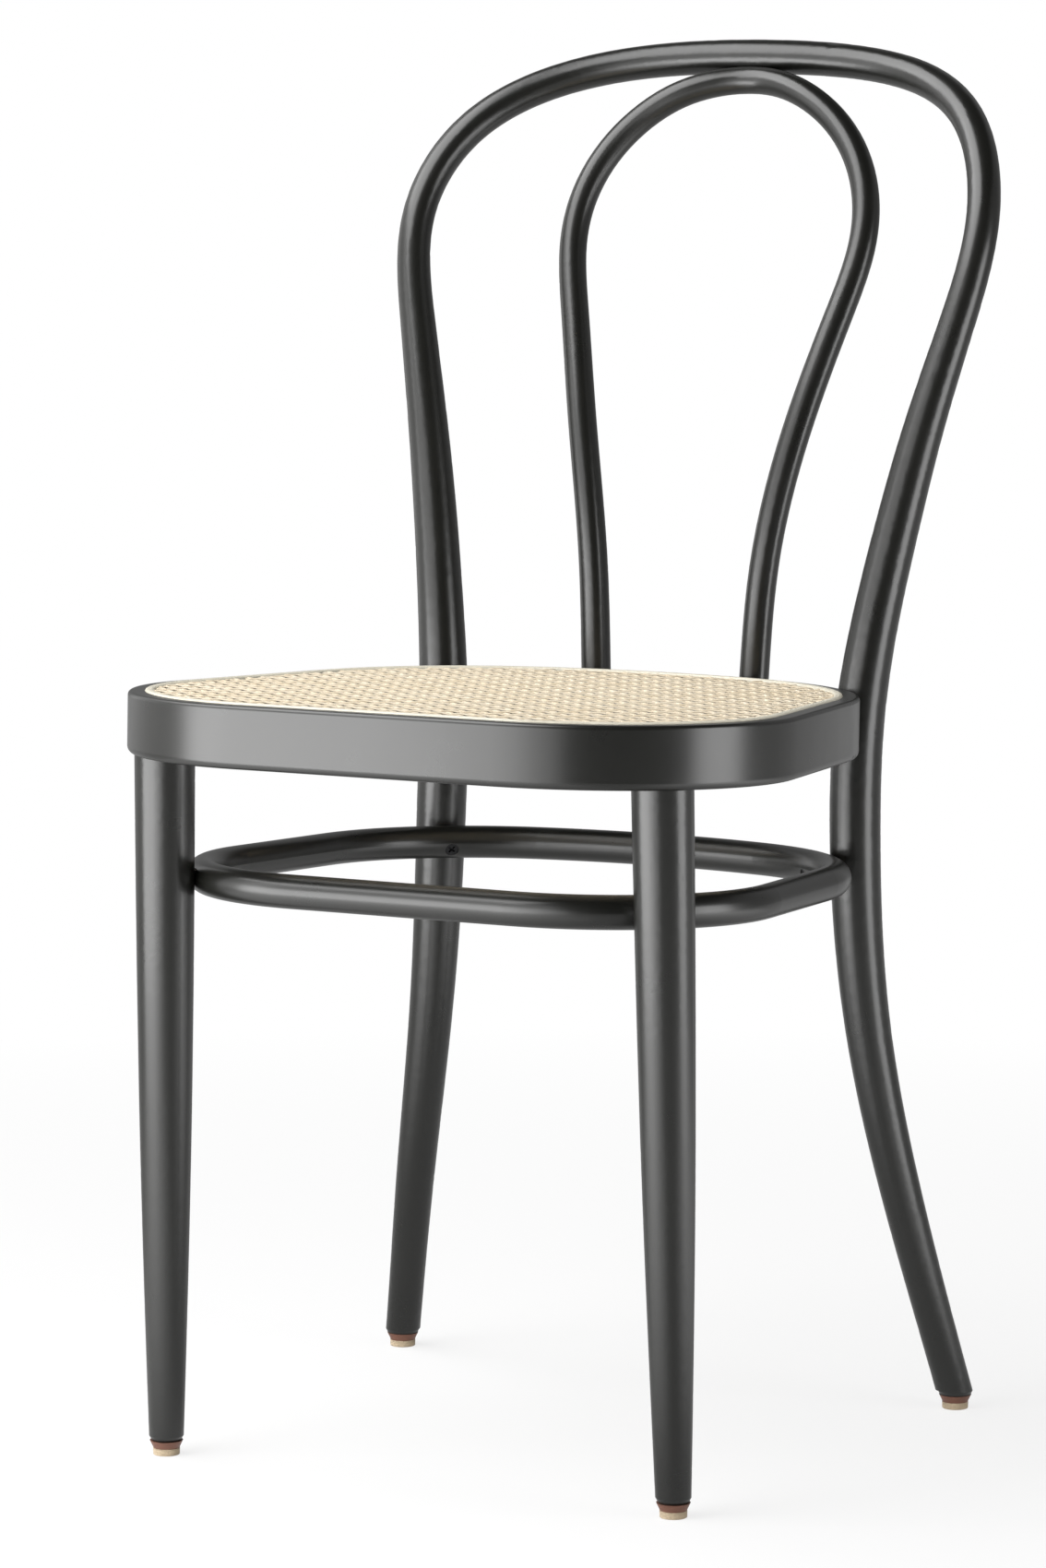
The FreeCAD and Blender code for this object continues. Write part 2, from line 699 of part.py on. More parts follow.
whole = Part.makeCompound([solid for solids in pieces.values() for solid in solids])
middle = whole.optimalBoundingBox(False, False)
shift = V(0, -(middle.YMin + middle.YMax) / 2, 0)

os.makedirs("parts", exist_ok=True)
for name, solids in pieces.items():
    shape = solids[0] if len(solids) == 1 else Part.makeCompound(solids)
    shape.translate(shift)
    shape.exportStep("parts/" + name + ".step")
    print(name, shape.ShapeType, len(shape.Solids), shape.isValid(), round(shape.Volume, 1))
print("box", middle, "shift", shift)
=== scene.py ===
import json
import math

import bmesh
import bpy
import numpy
from bpy.props import FloatProperty, FloatVectorProperty, IntProperty, PointerProperty
from bpy.types import Operator, Panel, PropertyGroup
from mathutils import Matrix, Vector, noise
from mathutils.bvhtree import BVHTree

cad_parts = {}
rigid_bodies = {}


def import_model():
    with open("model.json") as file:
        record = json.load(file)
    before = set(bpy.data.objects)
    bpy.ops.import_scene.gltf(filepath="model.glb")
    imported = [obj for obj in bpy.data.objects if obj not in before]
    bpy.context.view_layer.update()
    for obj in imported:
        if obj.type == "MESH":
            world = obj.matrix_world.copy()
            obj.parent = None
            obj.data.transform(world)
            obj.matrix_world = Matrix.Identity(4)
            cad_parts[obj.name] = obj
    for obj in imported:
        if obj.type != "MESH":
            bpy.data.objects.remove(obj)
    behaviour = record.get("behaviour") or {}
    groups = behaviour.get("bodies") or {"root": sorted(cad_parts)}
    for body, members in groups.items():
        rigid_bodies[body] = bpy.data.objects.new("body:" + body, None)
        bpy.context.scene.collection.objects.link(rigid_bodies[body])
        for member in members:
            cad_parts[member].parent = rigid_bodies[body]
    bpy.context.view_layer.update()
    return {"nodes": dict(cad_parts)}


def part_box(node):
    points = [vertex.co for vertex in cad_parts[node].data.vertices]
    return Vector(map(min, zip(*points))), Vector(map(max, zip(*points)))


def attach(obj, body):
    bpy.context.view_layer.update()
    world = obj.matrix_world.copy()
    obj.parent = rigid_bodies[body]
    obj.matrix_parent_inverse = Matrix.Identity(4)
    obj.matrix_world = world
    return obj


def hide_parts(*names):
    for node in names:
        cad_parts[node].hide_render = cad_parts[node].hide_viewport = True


bl_info = {
    "name": "Bentwood Bistro Chair",
    "version": (1, 0, 0),
    "blender": (4, 5, 0),
    "location": "3D View > Sidebar > Bistro Chair",
    "description": "Finishes, woven cane seat and studio for a bentwood bistro chair",
    "category": "Object",
}

for leftover in list(bpy.data.objects):
    bpy.data.objects.remove(leftover)

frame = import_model()
nodes = frame["nodes"]

# The seat lies in a plane that falls towards the back, so the weave is laid out in that plane.
SEAT_TOP = 0.461
SEAT_MIDDLE_Y = -0.077589
SEAT_FALL = math.radians(2.0)
SEAT_PLANE = Matrix.Translation((0.0, SEAT_MIDDLE_Y, SEAT_TOP)) @ Matrix.Rotation(-SEAT_FALL, 4, "X")

# The camera's turn round the chair and its roll. The lamps and walls are placed by the same turn.
CAMERA_TURN = math.radians(27.954)
CAMERA_ROLL = math.radians(-0.035)

# Vertices of a CAD mesh that are closer than this are one, and so are those along a strand's seam.
CAD_MERGE = 1e-6
SEAM_MERGE = 2e-7

# How far the weave lifts a strand, in strand thicknesses.
PAIR_LIFT = 0.4
DIAGONAL_LIFT = 1.0

# A strand's section, in shares of its width and thickness: nearly flat below and crowned above.
STRAND_SECTION = ((-0.5, -0.35), (-0.42, 0.2), (-0.16, 0.5),
                  (0.16, 0.5), (0.42, 0.2), (0.5, -0.35), (0.0, -0.5))


class BentwoodLacquer(PropertyGroup):
    """Satin lacquer on the bent and turned wood."""

    colour: FloatVectorProperty(
        name="Colour", description="Colour of the lacquer",
        subtype="COLOR", size=3, min=0.0, max=1.0, default=(0.0070, 0.0071, 0.0058))
    roughness: FloatProperty(
        name="Roughness", description="How satin the lacquer is",
        subtype="FACTOR", min=0.0, max=1.0, default=0.285)
    peel_height: FloatProperty(
        name="Spray texture", description="Height of the fine spray texture",
        subtype="DISTANCE", unit="LENGTH", default=0.00001)
    pore_height: FloatProperty(
        name="Pore depth", description="Depth of the beech pores that show through",
        subtype="DISTANCE", unit="LENGTH", default=0.00002)


class BentwoodCane(PropertyGroup):
    """Octagonal cane webbing of the seat."""

    pitch: FloatProperty(
        name="Mesh", description="Distance from one hole to the next",
        subtype="DISTANCE", unit="LENGTH", default=0.01478)
    pair_gap: FloatProperty(
        name="Pair spacing", description="Distance between the two strands of a pair, middle to middle",
        subtype="DISTANCE", unit="LENGTH", default=0.0030)
    strand_width: FloatProperty(
        name="Strand width", description="Width of the straight strands",
        subtype="DISTANCE", unit="LENGTH", default=0.0027)
    diagonal_width: FloatProperty(
        name="Diagonal width", description="Width of the diagonal strands",
        subtype="DISTANCE", unit="LENGTH", default=0.0031)
    strand_height: FloatProperty(
        name="Strand thickness", description="Thickness of a strand",
        subtype="DISTANCE", unit="LENGTH", default=0.0005)
    steps: IntProperty(
        name="Steps", description="Steps of a strand from one hole to the next",
        min=4, max=16, default=8)
    light: FloatVectorProperty(
        name="Light cane", description="Colour of the paler strands",
        subtype="COLOR", size=3, min=0.0, max=1.0, default=(0.83, 0.735, 0.58))
    deep: FloatVectorProperty(
        name="Deep cane", description="Colour of the darker strands",
        subtype="COLOR", size=3, min=0.0, max=1.0, default=(0.765, 0.645, 0.465))
    mark: FloatVectorProperty(
        name="Marks", description="Colour of the short dark marks in the bark",
        subtype="COLOR", size=3, min=0.0, max=1.0, default=(0.30, 0.18, 0.09))


class BentwoodTrim(PropertyGroup):
    """Reed, glides, felt and metal."""

    reed: FloatVectorProperty(
        name="Reed", description="Colour of the reed in the groove",
        subtype="COLOR", size=3, min=0.0, max=1.0, default=(0.72, 0.68, 0.56))
    glide: FloatVectorProperty(
        name="Glide", description="Colour of the plastic glides",
        subtype="COLOR", size=3, min=0.0, max=1.0, default=(0.14, 0.058, 0.036))
    felt: FloatVectorProperty(
        name="Felt", description="Colour of the felt pads",
        subtype="COLOR", size=3, min=0.0, max=1.0, default=(0.44, 0.35, 0.235))
    screw: FloatVectorProperty(
        name="Black steel", description="Colour of the blackened screws",
        subtype="COLOR", size=3, min=0.0, max=1.0, default=(0.016, 0.016, 0.017))
    zinc: FloatVectorProperty(
        name="Zinc", description="Colour of the zinc-plated steel",
        subtype="COLOR", size=3, min=0.0, max=1.0, default=(0.60, 0.60, 0.61))
    beech: FloatVectorProperty(
        name="Beech", description="Colour of the bare dowel",
        subtype="COLOR", size=3, min=0.0, max=1.0, default=(0.62, 0.43, 0.26))


class BentwoodStudio(PropertyGroup):
    """Floor, lamps and camera."""

    floor_colour: FloatVectorProperty(
        name="Floor", description="Colour of the floor",
        subtype="COLOR", size=3, min=0.0, max=1.0, default=(0.80, 0.80, 0.80))
    floor_shade: FloatProperty(
        name="Floor shadow", description="How much of the floor's own shade the camera sees",
        subtype="FACTOR", min=0.0, max=1.0, default=0.22)
    fill: FloatProperty(
        name="Fill", description="Strength of the light from all round",
        min=0.0, default=0.22)
    high_lamp: FloatProperty(
        name="High lamp", description="Radiance of the large lamp above on the left",
        min=0.0, default=5.2)
    low_lamp: FloatProperty(
        name="Low lamp", description="Radiance of the low lamp in front on the left",
        min=0.0, default=6.6)
    between_lamp: FloatProperty(
        name="Middle lamp", description="Radiance of the dim lamp between the high and the low one",
        min=0.0, default=1.7)
    side_lamp: FloatProperty(
        name="Side lamp", description="Radiance of the lamp on the right",
        min=0.0, default=4.4)
    wall_glow: FloatProperty(
        name="Front wall", description="Radiance of the dark wall behind the camera that reflections see",
        min=0.0, default=0.05)
    right_glow: FloatProperty(
        name="Right wall", description="Radiance of the grey wall on the right that reflections see",
        min=0.0, default=0.30)
    left_glow: FloatProperty(
        name="Left wall", description="Radiance of the pale wall on the left that reflections see",
        min=0.0, default=1.05)
    floor_glow: FloatProperty(
        name="Floor reflection", description="Radiance of the floor that reflections see",
        min=0.0, default=0.55)
    camera_place: FloatVectorProperty(
        name="Camera", description="Where the camera stands",
        subtype="TRANSLATION", unit="LENGTH", size=3, default=(1.8138, -3.48405, 0.88836))
    camera_turn: FloatProperty(
        name="Turn", description="Turn of the camera round the chair",
        subtype="ANGLE", unit="ROTATION", default=CAMERA_TURN)
    camera_dip: FloatProperty(
        name="Dip", description="How far the camera looks down",
        subtype="ANGLE", unit="ROTATION", default=math.radians(7.125))
    camera_lens: FloatProperty(
        name="Lens", description="Focal length in millimetres on a 36 mm long side",
        subtype="NONE", default=147.91)


# Node groups

def new_group(name, inputs, outputs):
    """An empty node group with its named inputs and outputs."""
    group = bpy.data.node_groups.new(name, "ShaderNodeTree")
    for title, kind, default in inputs:
        socket = group.interface.new_socket(title, in_out="INPUT", socket_type=kind)
        if default is not None:
            socket.default_value = default
    for title, kind in outputs:
        group.interface.new_socket(title, in_out="OUTPUT", socket_type=kind)
    entry = group.nodes.new("NodeGroupInput")
    leave = group.nodes.new("NodeGroupOutput")
    return group, entry, leave


def maths(tree, kind, first, second):
    """A sum, a product or the like of two values, each of them a number or a socket."""
    node = tree.nodes.new("ShaderNodeMath")
    node.operation = kind
    for place, value in enumerate((first, second)):
        if isinstance(value, (int, float)):
            node.inputs[place].default_value = value
        else:
            tree.links.new(value, node.inputs[place])
    return node.outputs[0]


def remap(tree, value, low, high, to_low=0.0, to_high=1.0):
    """The value carried from one range to another, and held inside it."""
    node = tree.nodes.new("ShaderNodeMapRange")
    node.clamp = True
    node.inputs["From Min"].default_value = low
    node.inputs["From Max"].default_value = high
    node.inputs["To Min"].default_value = to_low
    node.inputs["To Max"].default_value = to_high
    tree.links.new(value, node.inputs["Value"])
    return node.outputs["Result"]


def noise_of(tree, vector, detail, roughness=0.5, scale=1.0):
    """Noise between nothing and one, in cells of the vector."""
    node = tree.nodes.new("ShaderNodeTexNoise")
    node.inputs["Scale"].default_value = scale
    node.inputs["Detail"].default_value = detail
    node.inputs["Roughness"].default_value = roughness
    tree.links.new(vector, node.inputs["Vector"])
    return node.outputs["Fac"]


def stretched(tree, vector, across, along):
    """The vector counted in cells: along on the Y axis, across on the others."""
    size = tree.nodes.new("ShaderNodeCombineXYZ")
    for axis, value in (("X", across), ("Y", along), ("Z", across)):
        tree.links.new(value, size.inputs[axis])
    divide = tree.nodes.new("ShaderNodeVectorMath")
    divide.operation = "DIVIDE"
    tree.links.new(vector, divide.inputs[0])
    tree.links.new(size.outputs[0], divide.inputs[1])
    return divide.outputs[0]


def fibre_group():
    """Long fibres along Y: a slow tone, fine lines and a height."""
    group, entry, leave = new_group(
        "Fibre",
        [("Vector", "NodeSocketVector", None), ("Across", "NodeSocketFloat", 0.0005),
         ("Along", "NodeSocketFloat", 0.02)],
        [("Tone", "NodeSocketFloat"), ("Line", "NodeSocketFloat"), ("Height", "NodeSocketFloat")])
    cells = stretched(group, entry.outputs["Vector"], entry.outputs["Across"], entry.outputs["Along"])
    slow = noise_of(group, cells, detail=1.0, scale=0.22)
    fine = noise_of(group, cells, detail=4.0, roughness=0.6)
    group.links.new(remap(group, slow, low=0.36, high=0.64), leave.inputs["Tone"])
    group.links.new(remap(group, fine, low=0.30, high=0.70), leave.inputs["Line"])
    group.links.new(fine, leave.inputs["Height"])
    return group


def fleck_group():
    """Short marks along Y, few or many, where a noise is over a limit."""
    highest = 0.82                     # the limit at a share of nothing
    drop = 0.4                         # how far a share of one lowers it
    edge = 0.05                        # how softly a mark begins
    group, entry, leave = new_group(
        "Fleck",
        [("Vector", "NodeSocketVector", None), ("Across", "NodeSocketFloat", 0.001),
         ("Along", "NodeSocketFloat", 0.003), ("Share", "NodeSocketFloat", 0.3)],
        [("Mask", "NodeSocketFloat")])
    cells = stretched(group, entry.outputs["Vector"], entry.outputs["Across"], entry.outputs["Along"])
    field = noise_of(group, cells, detail=2.0, roughness=0.6)
    limit = maths(group, "SUBTRACT", highest, maths(group, "MULTIPLY", entry.outputs["Share"], drop))
    over = maths(group, "SUBTRACT", field, limit)
    group.links.new(remap(group, over, low=0.0, high=edge), leave.inputs["Mask"])
    return group


def skin_group():
    """A sprayed or moulded skin: fine height, and a slow unevenness of the gloss."""
    group, entry, leave = new_group(
        "Skin",
        [("Vector", "NodeSocketVector", None), ("Size", "NodeSocketFloat", 0.0012),
         ("Gloss", "NodeSocketFloat", 0.3), ("Spread", "NodeSocketFloat", 0.05)],
        [("Height", "NodeSocketFloat"), ("Roughness", "NodeSocketFloat"), ("Tone", "NodeSocketFloat")])
    cells = stretched(group, entry.outputs["Vector"], entry.outputs["Size"], entry.outputs["Size"])
    bumps = noise_of(group, cells, detail=2.0)
    slow = noise_of(group, cells, detail=3.0, roughness=0.6, scale=0.03)
    middle = 0.5                       # of the noise
    swing = maths(group, "MULTIPLY", maths(group, "SUBTRACT", slow, middle), entry.outputs["Spread"])
    group.links.new(bumps, leave.inputs["Height"])
    group.links.new(maths(group, "ADD", entry.outputs["Gloss"], swing), leave.inputs["Roughness"])
    group.links.new(slow, leave.inputs["Tone"])
    return group


def shared_group(name):
    """The node group of this name, made the first time that it is asked for."""
    makers = {"Fibre": fibre_group, "Fleck": fleck_group, "Skin": skin_group}
    return bpy.data.node_groups.get(name) or makers[name]()


def seen_rays(tree):
    """One for the rays that look, reflect or pass through, and nothing for those that only light."""
    rays = tree.nodes.new("ShaderNodeLightPath")
    looked = maths(tree, "MAXIMUM", rays.outputs["Is Camera Ray"], rays.outputs["Is Glossy Ray"])
    return maths(tree, "MAXIMUM", looked, rays.outputs["Is Transmission Ray"])


def mix_shaders(tree, share, first, second):
    """The first shader where the share is nothing, and the second where it is one."""
    mix = tree.nodes.new("ShaderNodeMixShader")
    for place, value in enumerate((share, first, second)):
        tree.links.new(value, mix.inputs[place])
    return mix.outputs[0]


def empty_tree(holder, output):
    """The node tree of a material or a world, with nothing in it but its output node."""
    holder.use_nodes = True
    tree = holder.node_tree
    tree.nodes.clear()
    return tree, tree.nodes.new(output)


# Materials

def new_finish(name):
    """A material with a plain surface shader, ready for its colours."""
    material = bpy.data.materials.new(name)
    tree, leave = empty_tree(material, "ShaderNodeOutputMaterial")
    shader = tree.nodes.new("ShaderNodeBsdfPrincipled")
    tree.links.new(shader.outputs["BSDF"], leave.inputs["Surface"])
    return material, tree, shader


def object_vector(tree, turn=0.0, along="Y"):
    """Object coordinates turned so that the grain runs along Y. On the piece it runs up, along Z, or
    lies level at a turn from Y."""
    coords = tree.nodes.new("ShaderNodeTexCoord")
    mapping = tree.nodes.new("ShaderNodeMapping")
    mapping.vector_type = "POINT"
    if along == "Z":
        mapping.inputs["Rotation"].default_value = (-math.pi / 2, 0.0, 0.0)
    else:
        mapping.inputs["Rotation"].default_value = (0.0, 0.0, turn)
    tree.links.new(coords.outputs["Object"], mapping.inputs["Vector"])
    return mapping.outputs["Vector"]


def use_group(tree, name, vector, **values):
    """A shared node group in this material, with values of its own."""
    node = tree.nodes.new("ShaderNodeGroup")
    node.node_tree = shared_group(name)
    tree.links.new(vector, node.inputs["Vector"])
    for title, value in values.items():
        node.inputs[title].default_value = value
    return node.outputs


def blend_colours(tree, share, first, second):
    """A colour between two, each of them a plain colour or a socket."""
    node = tree.nodes.new("ShaderNodeMix")
    node.data_type = "RGBA"
    tree.links.new(share, node.inputs["Factor"])
    for title, colour in (("A", first), ("B", second)):
        socket = next(s for s in node.inputs if s.name == title and s.type == "RGBA")
        if isinstance(colour, bpy.types.NodeSocket):
            tree.links.new(colour, socket)
        else:
            socket.default_value = (*colour, 1.0)
    return next(s for s in node.outputs if s.type == "RGBA")


def raise_surface(tree, shader, heights):
    """Bump nodes in a row. Each entry is a height, its distance and its strength."""
    normal = None
    for height, distance, strength in heights:
        bump = tree.nodes.new("ShaderNodeBump")
        bump.inputs["Distance"].default_value = distance
        bump.inputs["Strength"].default_value = strength
        tree.links.new(height, bump.inputs["Height"])
        if normal is not None:
            tree.links.new(normal, bump.inputs["Normal"])
        normal = bump.outputs["Normal"]
    tree.links.new(normal, shader.inputs["Normal"])


def darker(colour, share):
    """The colour at a share of its brightness. A share above one is lighter."""
    return tuple(share * part for part in colour)


def lacquer_finish(settings, name, along, turn=0.0):
    """Satin lacquer, with a fine spray texture over a trace of the pores of the beech."""
    material, tree, shader = new_finish(name)
    vector = object_vector(tree, turn, along)
    skin = use_group(tree, "Skin", vector, Size=0.0011, Gloss=settings.roughness, Spread=0.07)
    pores = use_group(tree, "Fibre", vector, Across=0.00035, Along=0.006)
    tone = blend_colours(tree, skin["Tone"], darker(settings.colour, 0.86), darker(settings.colour, 1.14))
    tree.links.new(tone, shader.inputs["Base Color"])
    tree.links.new(skin["Roughness"], shader.inputs["Roughness"])
    shader.inputs["IOR"].default_value = 1.6
    raise_surface(tree, shader, [(pores["Height"], settings.pore_height, 0.25),
                                 (skin["Height"], settings.peel_height, 0.35)])
    return material


def cane_finish(settings, name, turn):
    """Cane bark: paler and deeper stretches, fine lines along it and short dark marks."""
    material, tree, shader = new_finish(name)
    vector = object_vector(tree, turn)
    fibre = use_group(tree, "Fibre", vector, Across=0.00028, Along=0.011)
    strand = use_group(tree, "Fibre", vector, Across=0.0011, Along=0.09)
    marks = use_group(tree, "Fleck", vector, Across=0.0007, Along=0.0036, Share=0.26)
    line_share, mark_share = 0.25, 0.75
    base = blend_colours(tree, strand["Tone"], settings.light, settings.deep)
    lines = maths(tree, "MULTIPLY", fibre["Line"], line_share)
    streaked = blend_colours(tree, lines, base, darker(settings.deep, 0.85))
    dark = maths(tree, "MULTIPLY", marks["Mask"], mark_share)
    gloss = remap(tree, fibre["Line"], low=0.0, high=1.0, to_low=0.38, to_high=0.58)
    tree.links.new(blend_colours(tree, dark, streaked, settings.mark), shader.inputs["Base Color"])
    tree.links.new(gloss, shader.inputs["Roughness"])
    raise_surface(tree, shader, [(fibre["Height"], 0.00006, 0.4)])
    return material


def reed_finish(settings):
    """A pale reed with faint lines along it."""
    material, tree, shader = new_finish("reed_peeled")
    vector = object_vector(tree)
    skin = use_group(tree, "Skin", vector, Size=0.0007, Gloss=0.42, Spread=0.12)
    fibre = use_group(tree, "Fibre", vector, Across=0.0006, Along=0.012)
    base = blend_colours(tree, skin["Tone"], settings.reed, darker(settings.reed, 0.88))
    line_share = 0.18
    lines = maths(tree, "MULTIPLY", fibre["Line"], line_share)
    tree.links.new(blend_colours(tree, lines, base, darker(settings.reed, 0.7)),
                   shader.inputs["Base Color"])
    tree.links.new(skin["Roughness"], shader.inputs["Roughness"])
    raise_surface(tree, shader, [(fibre["Height"], 0.00005, 0.4)])
    return material


def beech_finish(settings):
    """Bare beech with its short flecks."""
    material, tree, shader = new_finish("beech_bare")
    vector = object_vector(tree)
    grain = use_group(tree, "Fibre", vector, Across=0.0005, Along=0.008)
    flecks = use_group(tree, "Fleck", vector, Across=0.0003, Along=0.0014, Share=0.4)
    base = blend_colours(tree, grain["Line"], settings.beech, darker(settings.beech, 0.8))
    tree.links.new(blend_colours(tree, flecks["Mask"], base, darker(settings.beech, 0.55)),
                   shader.inputs["Base Color"])
    shader.inputs["Roughness"].default_value = 0.6
    raise_surface(tree, shader, [(grain["Height"], 0.00005, 0.5)])
    return material


def metal_finish(name, colour, gloss, metallic):
    """Plain steel, blackened or plated."""
    material, tree, shader = new_finish(name)
    vector = object_vector(tree)
    skin = use_group(tree, "Skin", vector, Size=0.0003, Gloss=gloss, Spread=0.2)
    tree.links.new(blend_colours(tree, skin["Tone"], darker(colour, 0.8), darker(colour, 1.2)),
                   shader.inputs["Base Color"])
    tree.links.new(skin["Roughness"], shader.inputs["Roughness"])
    shader.inputs["Metallic"].default_value = metallic
    raise_surface(tree, shader, [(skin["Height"], 0.00001, 0.4)])
    return material


def glide_finish(settings):
    """Brown moulded plastic with faint scuffs."""
    material, tree, shader = new_finish("glide_brown")
    vector = object_vector(tree)
    skin = use_group(tree, "Skin", vector, Size=0.0004, Gloss=0.42, Spread=0.12)
    scuffs = use_group(tree, "Fleck", vector, Across=0.0004, Along=0.0016, Share=0.25)
    scuff_share = 0.4
    base = blend_colours(tree, skin["Tone"], darker(settings.glide, 0.8), darker(settings.glide, 1.25))
    scuffed = maths(tree, "MULTIPLY", scuffs["Mask"], scuff_share)
    tree.links.new(blend_colours(tree, scuffed, base, darker(settings.glide, 2.0)),
                   shader.inputs["Base Color"])
    tree.links.new(skin["Roughness"], shader.inputs["Roughness"])
    raise_surface(tree, shader, [(skin["Height"], 0.00004, 0.5)])
    return material


def felt_finish(settings):
    """Pressed felt, clumped and a little fuzzy."""
    material, tree, shader = new_finish("felt_wool")
    vector = object_vector(tree)
    wool = use_group(tree, "Fibre", vector, Across=0.0003, Along=0.0009)
    clumps = use_group(tree, "Skin", vector, Size=0.0009, Gloss=0.9, Spread=0.1)
    base = blend_colours(tree, wool["Line"], darker(settings.felt, 0.68), darker(settings.felt, 1.2))
    tree.links.new(blend_colours(tree, clumps["Height"], base, darker(settings.felt, 0.85)),
                   shader.inputs["Base Color"])
    shader.inputs["Roughness"].default_value = 0.95
    shader.inputs["Sheen Weight"].default_value = 0.25
    raise_surface(tree, shader, [(clumps["Height"], 0.0005, 0.7), (wool["Height"], 0.00025, 0.8)])
    return material


def dress(material, *names):
    """Gives CAD nodes their finish and leaves their meshes alone."""
    for name in names:
        for material_slot in nodes[name].material_slots:
            material_slot.material = material


def add_object(name, data):
    """A new object in the scene, at the origin and unturned."""
    thing = bpy.data.objects.new(name, data)
    bpy.context.scene.collection.objects.link(thing)
    return thing


def finish_mesh(mesh, name, material, replaced):
    """A finished mesh becomes a piece that rides on the chair and stands for CAD nodes."""
    data = bpy.data.meshes.new(name)
    mesh.to_mesh(data)
    mesh.free()
    piece = add_object(name, data)
    data.materials.append(material)
    for face in data.polygons:
        face.use_smooth = True
    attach(piece, "root")
    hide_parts(*replaced)
    return piece


# Cane weave

def pair_wave(offset, half_gap):
    """Rises to one at the first strand of a pair and falls to minus one at the other."""
    share = offset / half_gap
    return share * math.exp(0.5 * (1.0 - share * share))


def flat_wave(turn):
    """A wave with flattened tops, so that a diagonal lies flat on a pair."""
    flatness = 1.8
    return math.tanh(flatness * math.cos(turn)) / math.tanh(flatness)


def from_line(value, pitch):
    """Distance from the nearest line of the mesh."""
    return value - pitch * round(value / pitch)


def reed_walls():
    """The reed's surface in the seat's plane, to find where a strand meets it."""
    reed = bmesh.new()
    reed.from_mesh(nodes["cane_reed"].data)
    bmesh.ops.remove_doubles(reed, verts=reed.verts, dist=CAD_MERGE)
    reed.transform(SEAT_PLANE.inverted())
    walls = BVHTree.FromBMesh(reed)
    reed.free()
    return walls


def chord(walls, start, direction):
    """Where a strand goes in and out at the inner wall of the reed, if it does. A line across the seat
    meets the reed's outer and inner wall on its way in, and both again on its way out."""
    fewest, most = 4, 8
    past = 1e-5                        # the search goes on this far behind each wall
    found = []
    origin = start.copy()
    while len(found) < most:
        hit = walls.ray_cast(origin, direction)[0]
        if hit is None:
            break
        found.append((hit - start).dot(direction))
        origin = hit + direction * past
    if len(found) < fewest:
        return None
    return found[1], found[-2]


def lay_strand(bm, path, side, width, height):
    """A flat strand with a crowned top: a grid that is rolled up round its path."""
    sides = len(STRAND_SECTION)
    row = sides + 1                    # the last vertex of a row closes on its first
    grid = bmesh.ops.create_grid(bm, x_segments=len(path) - 1, y_segments=sides, size=1.0)["verts"]
    grid.sort(key=lambda vert: (round(vert.co.x, 5), vert.co.y))
    for place, vert in enumerate(grid):
        across, up = STRAND_SECTION[place % row % sides]
        vert.co = path[place // row] + side * (width * across) + Vector((0.0, 0.0, height * up))


def weave(settings, name, angle, lines, width, lift, walls, material):
    """All strands of one direction. A line is its distance from the middle and what its height needs."""
    proud = 0.0003                     # from the ring's rim up to the top of the highest strands
    tuck = 0.0014                      # how far the end of a strand goes into the reed
    outside = 0.4                      # a distance from the seat's middle that is well off the seat
    longer = 1.2                       # a diagonal's step beside a straight strand's
    fewest = 2                         # steps in the shortest strand
    slants = abs(math.sin(2 * angle)) > 0.5
    step = settings.pitch / settings.steps * (longer if slants else 1.0)
    # A lifted diagonal has its top half a thickness above its path, and that is the highest place.
    depth = proud - (DIAGONAL_LIFT + 0.5) * settings.strand_height
    direction = Vector((math.cos(angle), math.sin(angle), 0.0))
    side = Vector((-direction.y, direction.x, 0.0))
    bm = bmesh.new()
    for distance, key in lines:
        start = side * distance - direction * outside + Vector((0, 0, depth))
        ends = chord(walls, start, direction)
        if ends is None:
            continue
        low, high = ends[0] - tuck, ends[1] + tuck
        count = max(fewest, round((high - low) / step))
        path = []
        for place in range(count + 1):
            point = start + direction * (low + (high - low) * place / count)
            point.z += lift(point, key)
            path.append(point)
        lay_strand(bm, path, side, width, settings.strand_height)
    bmesh.ops.remove_doubles(bm, verts=bm.verts, dist=SEAM_MERGE)
    bmesh.ops.holes_fill(bm, edges=bm.edges, sides=0)
    bmesh.ops.recalc_face_normals(bm, faces=bm.faces)
    bm.transform(SEAT_PLANE)
    finish_mesh(bm, name, material, ["cane_panel"])


# Seat ring

def wrapped(angle):
    """The same angle between minus pi and pi."""
    return math.atan2(math.sin(angle), math.cos(angle))


def rim_turns(source, places, normals):
    """The foot of the ring's outer wall: for each angle about the middle, its place and the turns of the
    normals found there. Walls of the recesses for the loop's feet, at the back, are left out."""
    foot, near = -0.033, 0.001         # its height in the seat's plane, give or take
    upright = 0.02                     # the most that a normal of the wall leans up or down
    back_lean = math.radians(15.0)     # at the back, a normal further from its place's angle is a recess's
    rim = {}
    for loop in source.loops:
        place, normal = places[loop.vertex_index], normals[loop.index]
        if abs(normal.z) < upright and normal.xy.dot(place.xy) > 0.0 and abs(place.z - foot) < near:
            angle = math.atan2(place.y, place.x)
            lean = wrapped(math.atan2(normal.y, normal.x) - angle)
            if place.y < 0.0 or abs(lean) < back_lean:
                rim.setdefault(round(angle, 3), (place.xy, []))[1].append(angle + lean)
    return rim


